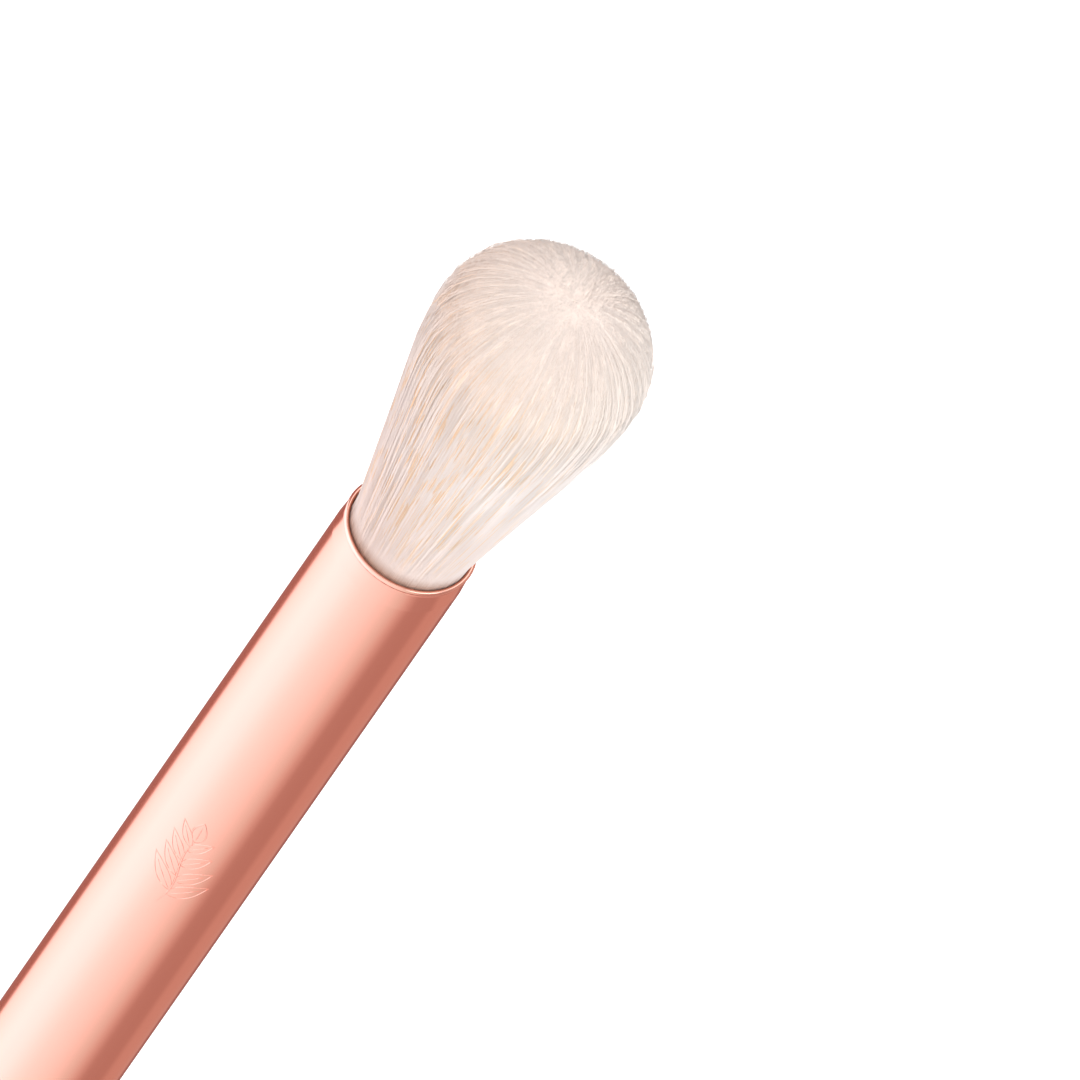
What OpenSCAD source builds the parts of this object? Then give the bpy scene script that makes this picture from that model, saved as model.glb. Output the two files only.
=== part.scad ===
// Fluffy eyeshadow brush: a slim metal tube handle with a rolled lip and a domed tuft of soft hair.
// Millimetres. +Z runs along the brush from the flat tail to the hair; the origin is the middle
// of the tail's flat face.

/* [Handle tube] */
// Outer diameter of the handle tube
tube_d = 8; // [6:0.5:12]
// Length of the handle tube
tube_len = 133; // [100:1:160]
// Wall of the handle tube
tube_wall = 0.3; // [0.25:0.05:0.45]
// How much the tube is drawn in at the mouth, on the radius
mouth_draw = 0.08; // [0:0.01:0.12]
// Length over which the tube is drawn in at the mouth
mouth_draw_len = 1.4; // [0.5:0.1:4]

/* [Ferrule sleeve] */
// Length of the sleeve inside the tube
sleeve_len = 18; // [10:0.5:30]
// Wall of the sleeve
sleeve_wall = 0.2; // [0.15:0.01:0.25]
// Thickness of the rolled bead at the lip
bead_d = 0.3; // [0.2:0.02:0.5]
// Length over which the sleeve's bore opens towards the lip
lip_flare_len = 1; // [0.6:0.1:3]
// Seam between the bead and the end of the tube
seam_gap = 0.04; // [0.02:0.01:0.1]

/* [Hair] */
// Number of strands
strand_count = 400; // [300:10:450]
// Length of the hair beyond the lip, along the axis
hair_len = 23.3; // [15:0.1:35]
// Diameter of the tuft where it is widest
tuft_d = 12.5; // [9:0.1:16]
// Height of the domed top above the widest place
dome_h = 5.2; // [3:0.1:9]
// Roundness of the dome: 2 is an ellipse, more is squarer
dome_power = 2.2; // [1.8:0.1:3]
// Gap between the hair and the sleeve's bore, on the radius
hair_gap = 0.06; // [0.02:0.01:0.3]
// How far the tips scatter about the dome
tip_scatter = 0.5; // [0:0.1:1.5]
// Share of each strand's free length that has passed where it starts to taper to its point
taper_start = 0.78; // [0.5:0.02:0.85]
// Share of the space between strands that a strand fills, corner to corner
strand_fill = 0.76; // [0.4:0.02:0.8]

/* [Root] */
// Depth of the resin's top face below the lip
resin_depth = 2.4; // [1:0.1:6]
// Thickness of the resin slice that the strands are set in
slice_h = 1.6; // [1:0.1:4]
// How deep the strands run into that slice
root_depth = 0.6; // [0.3:0.1:0.9]
// Diameter of the thread tied round the roots
thread_d = 0.4; // [0.2:0.05:0.6]
// Turns of that thread
thread_turns = 4; // [2:1:8]
// Distance from the bottom of the resin to the thread
thread_z = 4; // [1:0.5:6]
// Share of its own thickness by which the thread moves up in a turn
thread_pitch = 0.9; // [0.8:0.02:0.96]

/* [Tail] */
// Thickness of the tail cap's head
cap_head_h = 1.6; // [1:0.1:4]
// Rounding of the tail cap's rim
cap_edge_r = 0.35; // [0.1:0.05:0.6]
// Length of the tail cap's plug inside the tube
cap_plug_len = 7; // [4:0.5:15]
// Chamfer at the inner end of the plug
cap_chamfer = 0.4; // [0.1:0.1:1]

/* [Fits] */
// Clearance between pieces that slide into each other, on the radius
slide_gap = 0.02; // [0.01:0.01:0.05]
// Clearance round the wooden core, on the radius
core_gap = 0.1; // [0.05:0.05:0.2]

/* [Hidden] */

$fn = 96;
GOLDEN_ANGLE = 137.50776;
SIDES = 3;
TIP_SEED = 7;
// Turn of each strand about its own line, for each degree that the spiral turns
own_turn = 2.3;

// Radii, from the outside in
tube_r = tube_d / 2;
bore_r = tube_r - tube_wall;
sleeve_r = bore_r - slide_gap;
sleeve_bore_r = sleeve_r - sleeve_wall;
resin_r = sleeve_bore_r - slide_gap;
core_r = bore_r - core_gap;

// Heights, from the tail up
tube_z0 = cap_head_h;
tube_z1 = tube_z0 + tube_len;
bead_z = tube_z1 + seam_gap + bead_d / 2;
lip_z = bead_z + bead_d / 2;
sleeve_z0 = tube_z1 - sleeve_len;
plug_top_z = cap_head_h + cap_plug_len;
resin_top_z = lip_z - resin_depth;
slice_z0 = resin_top_z - slice_h;

// The bead sits inside the tube's drawn-in mouth, so nothing catches the fingers
bead_outer_r = tube_r - mouth_draw / 2;
bead_centre_r = bead_outer_r - bead_d / 2;
lip_bore_r = bead_outer_r - bead_d;

// ---- Handle tube ----

module handle_tube() {
    edge_r = (tube_wall - mouth_draw) / 4;
    mouth_r = tube_r - mouth_draw;
    color([0.93, 0.66, 0.58])
        rotate_extrude()
            polygon([
                [bore_r, tube_z0],
                [tube_r, tube_z0],
                [tube_r, tube_z1 - mouth_draw_len],
                [mouth_r, tube_z1 - edge_r],
                [mouth_r - edge_r, tube_z1],
                [bore_r, tube_z1]
            ]);
}

// ---- Ferrule sleeve: a thin drawn cup, open at both ends, with its lip rolled into a bead ----

module ferrule_sleeve() {
    color([0.86, 0.56, 0.48])
        rotate_extrude() {
            polygon([
                [sleeve_bore_r, sleeve_z0],
                [sleeve_r, sleeve_z0],
                [sleeve_r, tube_z1],
                [bead_centre_r, tube_z1 + seam_gap],
                [bead_centre_r, bead_z],
                [lip_bore_r, bead_z],
                [sleeve_bore_r, lip_z - lip_flare_len]
            ]);
            translate([bead_centre_r, bead_z])
                circle(d = bead_d, $fn = 32);
        }
}

// ---- Hair ----

// Half the mean distance between neighbouring strands, for a tuft of radius 1
half_space = sqrt(PI / (2 * sqrt(3) * strand_count));

// Radius of the tuft at a height above the lip: parallel inside the sleeve, then an almost
// straight flare that rounds off at the widest place
belly_z = hair_len - dome_h;
belly_r = tuft_d / 2;
mouth_hair_r = (sleeve_bore_r - hair_gap) / (1 + strand_fill * half_space);
flare_bend = 0.12;
flare_power = (1 + flare_bend) / flare_bend;
function flare(t) = (1 + flare_bend) * t - flare_bend * pow(t, flare_power);
function tuft_r(z) =
    z <= 0 ? mouth_hair_r
    : z >= belly_z ? belly_r
    : mouth_hair_r + (belly_r - mouth_hair_r) * flare(z / belly_z);

// Height of the dome over a strand, by the strand's share of the tuft's radius
function dome_z(share) = belly_z + dome_h * pow(1 - pow(share, dome_power), 1 / dome_power);

// Strands stand on a sunflower spiral. Each keeps its own share of the tuft's radius at every
// height, so the strands spread together and none can cross another.
function strand_share(i) = sqrt((i + 0.5) / (strand_count - 0.5));
tip_offsets = rands(-tip_scatter, tip_scatter, strand_count, TIP_SEED);

function strand_ring(i, z) = let(
    share = strand_share(i),
    turn = i * GOLDEN_ANGLE,
    r = tuft_r(z),
    half_w = strand_fill * half_space * r
) [for (k = [0:SIDES - 1]) let(corner = own_turn * turn + 360 / SIDES * k)
    [share * r * cos(turn) + half_w * cos(corner),
     share * r * sin(turn) + half_w * sin(corner),
     lip_z + z]];

// Three rings and a point: the root, the lip, the start of the taper and the tip
function strand_points(i) = let(
    share = strand_share(i),
    tip_z = dome_z(share) + tip_offsets[i],
    turn = i * GOLDEN_ANGLE,
    tip_r = share * tuft_r(tip_z)
) concat(
    strand_ring(i, -resin_depth - root_depth),
    strand_ring(i, 0),
    strand_ring(i, tip_z * taper_start),
    [[tip_r * cos(turn), tip_r * sin(turn), lip_z + tip_z]]
);

RINGS = 3;
POINTS_PER_STRAND = RINGS * SIDES + 1;
function strand_faces(i) = let(
    first = i * POINTS_PER_STRAND,
    last_ring = first + (RINGS - 1) * SIDES,
    tip = last_ring + SIDES
) concat(
    [[for (k = [0:SIDES - 1]) first + k]],
    [for (ring = [first:SIDES:last_ring - 1], k = [0:SIDES - 1]) let(next = (k + 1) % SIDES)
        each [[ring + k, ring + SIDES + k, ring + next],
              [ring + next, ring + SIDES + k, ring + SIDES + next]]],
    [for (k = [0:SIDES - 1]) [last_ring + k, tip, last_ring + (k + 1) % SIDES]]
);

module bristle_tuft() {
    color([0.96, 0.9, 0.84])
        union() {
            translate([0, 0, slice_z0])
                cylinder(r = resin_r, h = slice_h);
            polyhedron(
                points = [for (i = [0:strand_count - 1]) each strand_points(i)],
                faces = [for (i = [0:strand_count - 1]) each strand_faces(i)]
            );
        }
}

// ---- Root: resin, with the thread that ties the hair bedded in its side ----

thread_step = thread_d * thread_pitch;
thread_h = thread_d + thread_step * (thread_turns - 1);
thread_z0 = sleeve_z0 + thread_z;
thread_r = resin_r - thread_d;

module resin_plug() {
    channel_r = thread_r - slide_gap;
    color([0.85, 0.78, 0.62])
        rotate_extrude()
            polygon([
                [0, sleeve_z0],
                [resin_r, sleeve_z0],
                [resin_r, thread_z0 - slide_gap],
                [channel_r, thread_z0 - slide_gap],
                [channel_r, thread_z0 + thread_h + slide_gap],
                [resin_r, thread_z0 + thread_h + slide_gap],
                [resin_r, slice_z0],
                [0, slice_z0]
            ]);
}

module root_thread() {
    color([0.9, 0.9, 0.88])
        rotate_extrude()
            for (turn = [0:thread_turns - 1])
                translate([thread_r + thread_d / 2, thread_z0 + thread_d / 2 + thread_step * turn])
                    circle(d = thread_d, $fn = 24);
}

// ---- Core and tail ----

module core_dowel() {
    color([0.82, 0.66, 0.46])
        translate([0, 0, plug_top_z])
            cylinder(r = core_r, h = sleeve_z0 - plug_top_z);
}

module tail_cap() {
    color([0.93, 0.66, 0.58])
        rotate_extrude()
            polygon(concat(
                [[0, 0]],
                [for (a = [-90:15:0])
                    [tube_r - cap_edge_r + cap_edge_r * cos(a), cap_edge_r + cap_edge_r * sin(a)]],
                [[tube_r, cap_head_h],
                 [sleeve_r, cap_head_h],
                 [sleeve_r, plug_top_z - cap_chamfer],
                 [sleeve_r - cap_chamfer, plug_top_z],
                 [0, plug_top_z]]
            ));
}

handle_tube();
ferrule_sleeve();
bristle_tuft();
resin_plug();
root_thread();
core_dowel();
tail_cap();
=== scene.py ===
"""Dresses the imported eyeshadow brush: soft hair, satin rose-gold metal, a raised leaf sprig and a stage."""

import math

import bmesh
import bpy
import numpy as np
from mathutils import Matrix, Vector


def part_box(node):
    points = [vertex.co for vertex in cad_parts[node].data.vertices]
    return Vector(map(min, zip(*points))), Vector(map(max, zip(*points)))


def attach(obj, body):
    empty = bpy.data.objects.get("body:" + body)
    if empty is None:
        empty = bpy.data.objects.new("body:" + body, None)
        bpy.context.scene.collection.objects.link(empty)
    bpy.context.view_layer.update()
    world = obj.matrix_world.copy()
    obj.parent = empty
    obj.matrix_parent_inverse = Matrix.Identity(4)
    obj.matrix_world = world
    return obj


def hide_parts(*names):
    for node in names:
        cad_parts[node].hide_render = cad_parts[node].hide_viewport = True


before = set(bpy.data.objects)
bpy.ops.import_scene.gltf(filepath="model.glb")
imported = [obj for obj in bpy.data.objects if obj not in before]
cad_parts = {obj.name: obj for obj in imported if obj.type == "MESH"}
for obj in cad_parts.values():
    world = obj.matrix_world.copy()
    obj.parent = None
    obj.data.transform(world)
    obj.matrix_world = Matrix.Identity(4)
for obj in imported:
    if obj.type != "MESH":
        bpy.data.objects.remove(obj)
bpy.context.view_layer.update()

bl_info = {
    "name": "Eyeshadow Brush Dressing",
    "version": (1, 0, 0),
    "blender": (4, 5, 0),
    "location": "View3D > Sidebar > Brush",
    "description": "Hair, metal finish, ornament and stage for a slim eyeshadow brush",
    "category": "Object",
}

MM = 0.001
BODY = "root"
WHITE = (1, 1, 1)

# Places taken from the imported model
LIP_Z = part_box("ferrule_sleeve")[1].z
TUBE_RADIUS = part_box("handle_tube")[1].x
TUFT_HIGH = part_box("bristle_tuft")[1]
TIP_SCATTER = 0.5 * MM  # how far single tips of the solid tuft stand above its dome


# ---------------------------------------------------------------- settings


class HairSettings(bpy.types.PropertyGroup):
    count: bpy.props.IntProperty(
        name="Hairs", description="Number of hairs in the tuft", default=22000, min=500, max=24000
    )
    thickness: bpy.props.FloatProperty(
        name="Thickness", description="Diameter of a hair", default=0.05 * MM, unit="LENGTH", precision=6
    )
    length: bpy.props.FloatProperty(
        name="Length", description="Hair beyond the lip, to the top of the dome",
        default=TUFT_HIGH.z - LIP_Z - TIP_SCATTER, unit="LENGTH", precision=5
    )
    widest: bpy.props.FloatProperty(
        name="Widest", description="Diameter of the tuft at its widest", default=12.5 * MM,
        unit="LENGTH", precision=5
    )
    dome: bpy.props.FloatProperty(
        name="Dome", description="Height of the rounded top above the widest place",
        default=5.2 * MM, unit="LENGTH", precision=5
    )
    mouth: bpy.props.FloatProperty(
        name="Mouth", description="Radius of the hair where it leaves the lip", default=3.47 * MM,
        unit="LENGTH", precision=5
    )
    lock_width: bpy.props.FloatProperty(
        name="Lock width", description="Usual width of a lock of hairs at the widest place",
        default=1.1 * MM, unit="LENGTH", precision=5
    )
    lock_pull: bpy.props.FloatProperty(
        name="Lock pull", description="How strongly hairs draw together into locks", default=0.2
    )
    surface_color: bpy.props.FloatVectorProperty(
        name="Surface", description="Colour of the hair at the surface", subtype="COLOR",
        default=(0.97, 0.885, 0.84)
    )
    # Painted gold: the colour of light scattered deep in the tuft, painted on the hair seen in the gaps
    deep_painted_color: bpy.props.FloatVectorProperty(
        name="Depth", description="Colour of the hair seen in the gaps", subtype="COLOR",
        default=(0.98, 0.66, 0.38)
    )
    # Painted reflection and shade: the rosy tint toward the lip stands in for the rose-gold lip's reflection
    # and the shade near it
    root_painted_color: bpy.props.FloatVectorProperty(
        name="Root", description="Colour of the hair near the lip", subtype="COLOR",
        default=(0.96, 0.795, 0.73)
    )


class MetalSettings(bpy.types.PropertyGroup):
    color: bpy.props.FloatVectorProperty(
        name="Rose gold", description="Colour of the anodised metal", subtype="COLOR",
        default=(0.88, 0.40, 0.31)
    )
    lip_color: bpy.props.FloatVectorProperty(
        name="Lip gold", description="Paler colour of the polished rolled lip", subtype="COLOR",
        default=(0.9, 0.47, 0.37)
    )
    roughness: bpy.props.FloatProperty(
        name="Roughness", description="Roughness of the satin finish", default=0.16, subtype="FACTOR"
    )


class SprigSettings(bpy.types.PropertyGroup):
    below_lip: bpy.props.FloatProperty(
        name="Below lip", description="Distance from the lip down to the middle of the sprig",
        default=28.7 * MM, unit="LENGTH", precision=5
    )
    height: bpy.props.FloatProperty(
        name="Height", description="Height of the sprig", default=7.6 * MM, unit="LENGTH", precision=5
    )
    relief: bpy.props.FloatProperty(
        name="Relief", description="How far the sprig stands above the tube", default=0.016 * MM,
        unit="LENGTH", precision=6
    )
    leaf_pairs: bpy.props.IntProperty(
        name="Leaf pairs", description="Pairs of leaves on the sprig", default=4, min=2, max=9
    )


class StageSettings(bpy.types.PropertyGroup):
    elevation: bpy.props.FloatProperty(
        name="Elevation", description="Height of the camera above the horizon",
        default=math.radians(48), subtype="ANGLE"
    )
    lean: bpy.props.FloatProperty(
        name="Lean", description="How far the brush leans to the right in the picture",
        default=math.radians(34.95), subtype="ANGLE"
    )
    scale: bpy.props.FloatProperty(
        name="Scale", description="Pixels of the 1080 pixel picture for one millimetre", default=18.25
    )
    lens: bpy.props.FloatProperty(
        name="Lens", description="Focal length of the camera in millimetres", default=1600
    )
    mouth_pixel: bpy.props.FloatVectorProperty(
        name="Mouth pixel", description="Place of the lip's middle in the 1080 pixel picture",
        size=2, default=(411.8, 534.1)
    )


# ---------------------------------------------------------------- helpers for meshes


def add_object(name, data):
    """An object in the scene's own collection."""
    thing = bpy.data.objects.new(name, data)
    bpy.context.scene.collection.objects.link(thing)
    return thing


def new_piece(name, mesh, material):
    """An object of the brush that rides on its one body."""
    piece = add_object(name, mesh)
    mesh.materials.append(material)
    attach(piece, BODY)
    return piece


def stage_object(name, mesh, material):
    """An object of the stage, which is no part of the brush."""
    thing = add_object(name, mesh)
    mesh.materials.append(material)
    return thing


def write_layers(mesh, layers):
    """Keeps a value for each point of the mesh under each name."""
    for label, values in layers.items():
        layer = mesh.attributes.new(label, "FLOAT", "POINT")
        layer.data.foreach_set("value", values.astype(np.float32).ravel())


def write_vectors(mesh, label, vectors):
    """Keeps a place or a colour for each point of the mesh under a name."""
    layer = mesh.attributes.new(label, "FLOAT_VECTOR", "POINT")
    layer.data.foreach_set("vector", np.asarray(vectors, dtype=np.float32).ravel())


def lathe(name, profile, steps):
    """A mesh turned about Z from (radius, height) pairs; the profile starts and ends on the axis."""
    turns = [2 * math.pi * k / steps for k in range(steps)]
    verts = [(r * math.cos(turn), r * math.sin(turn), z) for r, z in profile[1:-1] for turn in turns]
    last_ring, start, end = len(verts) - steps, len(verts), len(verts) + 1
    verts += [(0, 0, profile[0][1]), (0, 0, profile[-1][1])]
    faces = []
    for k in range(steps):
        after = (k + 1) % steps
        faces.append((start, k, after))
        for ring in range(0, last_ring, steps):
            faces.append((ring + after, ring + k, ring + steps + k, ring + steps + after))
        faces.append((last_ring + after, last_ring + k, end))
    mesh = bpy.data.meshes.new(name)
    mesh.from_pydata(verts, [], faces)
    mesh.shade_smooth()
    return mesh


# ---------------------------------------------------------------- helpers for materials

# Satin metal: its grain, the draw lines and the haze in it, and the thin clear seal over it
GRAIN_SIZE, GRAIN_STRENGTH, GRAIN_DEPTH = 0.06 * MM, 0.06, 0.002 * MM
DRAW_LINE_WIDTH, DRAW_LINE_STRETCH, TUBE_DRAW_LINES = 0.12 * MM, 160, 0.05
LINE_SHADE = 0.6  # how much of a line's change in roughness shows in its colour
HAZE_SIZE, HAZE_STRETCH, HAZE_ROUGHNESS = 9 * MM, 2.5, 0.05
EDGE_TINT = (0.93, 0.62, 0.52, 1)
SEAL_WEIGHT, SEAL_ROUGHNESS = 0.35, 0.12
LIP_POLISH, SPRIG_MATT = 0.06, 0.08  # how much smoother than the tube the lip is, and rougher the sprig


def new_material(name):
    material = bpy.data.materials.new(name)
    material.use_nodes = True
    tree = material.node_tree
    return material, tree, tree.nodes["Principled BSDF"]


def set_sockets(node, **values):
    """Sets sockets that nothing is linked to; an underscore stands for a space in a socket's name."""
    for key, value in values.items():
        node.inputs[key.replace("_", " ")].default_value = value


def add_node(tree, kind, **settings):
    """A node with its plain settings and its inputs by name."""
    node = tree.nodes.new(kind)
    for key, value in settings.items():
        if hasattr(node, key):
            setattr(node, key, value)
        else:
            set_sockets(node, **{key: value})
    return node


def math_node(tree, operation, a, b=None, clamp=False):
    """A maths node on sockets or numbers; returns its output."""
    node = tree.nodes.new("ShaderNodeMath")
    node.operation = operation
    node.use_clamp = clamp
    for socket, value in zip(node.inputs, (a, b)):
        if value is None:
            continue
        if isinstance(value, (int, float)):
            socket.default_value = value
        else:
            tree.links.new(value, socket)
    return node.outputs[0]


def times(tree, a, b, clamp=False):
    return math_node(tree, "MULTIPLY", a, b, clamp)


def minus(tree, a, b, clamp=False):
    return math_node(tree, "SUBTRACT", a, b, clamp)


def color_mix(tree, factor, a, b, blend="MIX"):
    """A colour mix on sockets or colours; returns its output."""
    node = tree.nodes.new("ShaderNodeMix")
    node.data_type = "RGBA"
    node.blend_type = blend
    for socket, value in zip((node.inputs[0], node.inputs[6], node.inputs[7]), (factor, a, b)):
        if isinstance(value, bpy.types.NodeSocket):
            tree.links.new(value, socket)
        elif isinstance(value, (int, float)):
            socket.default_value = value
        else:
            socket.default_value = (*value[:3], 1)
    return node.outputs[2]


def object_noise(tree, size, stretch=(1, 1, 1), detail=2.0):
    """Noise in the object's own space; size is the width of a feature in metres."""
    place = tree.nodes.new("ShaderNodeTexCoord")
    mapping = tree.nodes.new("ShaderNodeMapping")
    mapping.inputs["Scale"].default_value = [1 / s for s in stretch]
    tree.links.new(place.outputs["Object"], mapping.inputs["Vector"])
    noise = add_node(tree, "ShaderNodeTexNoise", Scale=1 / size, Detail=detail, Roughness=0.55)
    tree.links.new(mapping.outputs[0], noise.inputs["Vector"])
    return noise.outputs["Fac"]


def add_bump(tree, shader, height, strength, distance):
    """Bump on the shader from a height that changes over the surface."""
    bump = add_node(tree, "ShaderNodeBump", Strength=strength, Distance=distance)
    tree.links.new(height, bump.inputs["Height"])
    tree.links.new(bump.outputs[0], shader.inputs["Normal"])


def grain_group():
    """Fine grain and soft draw lines of satin metal: a colour, a roughness and a height."""
    found = bpy.data.node_groups.get("Satin Metal Grain")
    if found:
        return found
    group = bpy.data.node_groups.new("Satin Metal Grain", "ShaderNodeTree")
    face = group.interface
    for name, kind, default in (
        ("Color", "NodeSocketColor", (0.8, 0.4, 0.3, 1)),
        ("Roughness", "NodeSocketFloat", 0.25),
        ("Grain Size", "NodeSocketFloat", GRAIN_SIZE),
        ("Line Strength", "NodeSocketFloat", 0.02),
    ):
        face.new_socket(name=name, in_out="INPUT", socket_type=kind).default_value = default
    for name, kind in (
        ("Color", "NodeSocketColor"), ("Roughness", "NodeSocketFloat"), ("Height", "NodeSocketFloat")
    ):
        face.new_socket(name=name, in_out="OUTPUT", socket_type=kind)
    start = group.nodes.new("NodeGroupInput")
    end = group.nodes.new("NodeGroupOutput")
    place = group.nodes.new("ShaderNodeTexCoord")
    grain = add_node(group, "ShaderNodeTexNoise", Detail=2.0)
    group.links.new(place.outputs["Object"], grain.inputs["Vector"])
    group.links.new(math_node(group, "DIVIDE", 1.0, start.outputs["Grain Size"]), grain.inputs["Scale"])
    group.links.new(grain.outputs["Fac"], end.inputs["Height"])

    lines = object_noise(group, DRAW_LINE_WIDTH, (1, 1, DRAW_LINE_STRETCH), detail=3.0)
    haze = object_noise(group, HAZE_SIZE, (1, 1, HAZE_STRETCH), detail=1.0)
    line_shift = times(group, minus(group, lines, 0.5), start.outputs["Line Strength"])
    haze_shift = times(group, minus(group, haze, 0.5), HAZE_ROUGHNESS)
    rough = math_node(group, "ADD", start.outputs["Roughness"], line_shift)
    group.links.new(math_node(group, "ADD", rough, haze_shift), end.inputs["Roughness"])
    tinted = add_node(group, "ShaderNodeVectorMath", operation="SCALE")
    group.links.new(start.outputs["Color"], tinted.inputs[0])
    shade = math_node(group, "ADD", 1.0, times(group, line_shift, LINE_SHADE))
    group.links.new(shade, tinted.inputs["Scale"])
    group.links.new(tinted.outputs[0], end.inputs["Color"])
    return group


def satin_metal(name, color, roughness, line_strength=0.0):
    """Rose-gold anodised metal under its thin clear seal."""
    material, tree, shader = new_material(name)
    group = tree.nodes.new("ShaderNodeGroup")
    group.node_tree = grain_group()
    set_sockets(group, Color=(*color, 1), Roughness=roughness, Grain_Size=GRAIN_SIZE,
                Line_Strength=line_strength)
    tree.links.new(group.outputs["Color"], shader.inputs["Base Color"])
    tree.links.new(group.outputs["Roughness"], shader.inputs["Roughness"])
    add_bump(tree, shader, group.outputs["Height"], GRAIN_STRENGTH, GRAIN_DEPTH)
    set_sockets(shader, Metallic=1.0, Specular_Tint=EDGE_TINT, Coat_Weight=SEAL_WEIGHT,
                Coat_Roughness=SEAL_ROUGHNESS)
    return material


# ---------------------------------------------------------------- metal


class EYEBRUSH_OT_finish_metal(bpy.types.Operator):
    """Give the tube, the sleeve's rolled lip and the tail cap their satin rose-gold finish"""

    bl_idname = "eyebrush.finish_metal"
    bl_label = "Finish Metal"

    def execute(self, context):
        metal = context.scene.eyebrush_metal
        rose, lip = tuple(metal.color), tuple(metal.lip_color)
        finishes = {
            "handle_tube": satin_metal("Tube rose gold", rose, metal.roughness, TUBE_DRAW_LINES),
            "ferrule_sleeve": satin_metal("Lip rose gold", lip, metal.roughness - LIP_POLISH),
            "tail_cap": satin_metal("Cap rose gold", rose, metal.roughness),
        }
        for node, material in finishes.items():
            dress_node(node, material)
        return {"FINISHED"}


def dress_node(node, material):
    """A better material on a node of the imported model, with its round faces smooth."""
    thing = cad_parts[node]
    thing.data.materials.clear()
    thing.data.materials.append(material)
    thing.data.shade_smooth()
    thing.data.update()


# ---------------------------------------------------------------- inner pieces

# The figure of each material inside the tube: its size, its dark and light colours and its relief
INSIDE_FINISHES = {
    "resin_plug": dict(
        name="Casting resin", size=0.9 * MM, dark=(0.62, 0.45, 0.24), light=(0.78, 0.62, 0.38),
        roughness=0.3
    ),
    "root_thread": dict(
        name="Cotton thread", size=0.12 * MM, dark=(0.62, 0.6, 0.55), light=(0.86, 0.85, 0.8),
        roughness=0.85, stretch=(2.5, 2.5, 1), bump=(0.5, 0.03 * MM)
    ),
    "core_dowel": dict(
        name="Turned birch", size=0.5 * MM, dark=(0.5, 0.34, 0.19), light=(0.74, 0.58, 0.38),
        roughness=0.7, stretch=(1, 1, 22), detail=4.0, bump=(0.25, 0.02 * MM)
    ),
}


def figured_material(name, size, dark, light, roughness, stretch=(1, 1, 1), detail=2.0, bump=None):
    """A material whose colour follows one soft figure, and its relief too where bump is given."""
    material, tree, shader = new_material(name)
    figure = object_noise(tree, size, stretch, detail)
    tree.links.new(color_mix(tree, figure, dark, light), shader.inputs["Base Color"])
    set_sockets(shader, Roughness=roughness)
    if bump:
        add_bump(tree, shader, figure, *bump)
    return material


class EYEBRUSH_OT_finish_inside(bpy.types.Operator):
    """Give the core, the thread and the resin inside the tube their own finishes"""

    bl_idname = "eyebrush.finish_inside"
    bl_label = "Finish Inside"

    def execute(self, context):
        for node, finish in INSIDE_FINISHES.items():
            dress_node(node, figured_material(**finish))
        return {"FINISHED"}


# ---------------------------------------------------------------- hair

SIDES = 3
GOLDEN_ANGLE = math.radians(137.50776)
HAIR_SEED = 11
TINY = 1e-9  # least distance from the axis, so that nothing is divided by zero there

# The tuft's outline, from the resin up
ROOT_DEPTH = 2.4 * MM  # from the lip down to the face of the resin
RESIN_CREEP = 0.18 * MM  # how far the resin is drawn up at its rim
FLARE_START = -0.3 * MM  # height at which the hairs begin to spread, just inside the lip
FLARE_BEND = 0.12
DOME_POWER = 2.2
DOME_ARC = 9.2 * MM  # from the widest place to the top, along the dome

# Each bundle: its shares of the tuft's radius, the rings along a hair and how far down it is drawn
BUNDLES = (
    ("hair_crown_inner", 0.0, 0.62, 4, 3.5 * MM), ("hair_crown_outer", 0.62, 0.945, 4, 4.5 * MM),
    ("hair_shell", 0.945, 1.01, 14, None)
)
RING_POWER = 1.6  # the rings of a hair drawn whole stand closer together toward its tip

# How single hairs differ
HOME_JITTER = 0.35  # about its place on the spiral, as a share of the space between hairs
TIP_LIFT = (0.09 * MM, 0.12 * MM)  # mean and spread of the tips' height above the dome
SHORT_HAIRS, SHORT_BY = 0.16, 0.5 * MM  # share of hairs that end lower, and how much lower
STRAY_TIPS, STRAY_UP = 0.12, 0.3 * MM  # share of hairs that end higher, and how much at most
STRAY_OUT, STRAY_FROM = 0.035, 0.93  # how far hairs stand off the side, and how far out those hairs are
LEAN, BEND, BEND_WAVES = 0.22 * MM, 0.08 * MM, 2.6
THICKNESS_RANGE = (0.8, 1.15)
OWN_TURN = 0.35  # how far a hair may be turned about its own line, in radians either way
TAPER_FROM, TIP_TAPER = 0.75, 0.82  # where along a hair its tip starts, and how much thinner it gets
# Painted light: tips are painted paler, for light passing through the thin tips
TIP_LENGTH = 1.2 * MM  # over which a tip is paler

# Hairs that curl in: the least share of the radius left at their ends, how these are spread over the
# dome, and how much a curled hair rises to the outline
CURL_LEFT, CURL_POWER, CURL_RISE = 0.12, 0.6, 0.7

# Locks: fine ones against wide ones, and the heights over which they wander and form
LOCK_WAVES = 28
FINE_LOCKS, WIDE_PULL = 0.36, 0.45
LOCK_DRIFT, FINE_DRIFT, LOCKS_FORMED = 16 * MM, 9 * MM, 4 * MM

# Packed hair: its mesh, its depth below the surface, and how its locks swell and sink
ROWS_UP_SIDE, ROWS_OVER_DOME, STEPS_ROUND = 90, 60, 320
UNDERCOAT_INSET = 0.15 * MM
SWELL, SWELL_WAVES, SWELL_DRIFT = 0.2, 36, 14 * MM

# Brushed hair takes the light as one soft surface, turned up a little: how much on the side and the dome
UP_AT_SIDE, UP_AT_DOME = 0.4, 0.6
BRUSHED_AT_SIDE, BRUSHED_AT_DOME = 0.91, 0.97
SLOPE_STEP, LEAST_SIDE = 0.1 * MM, 1e-3
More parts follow.
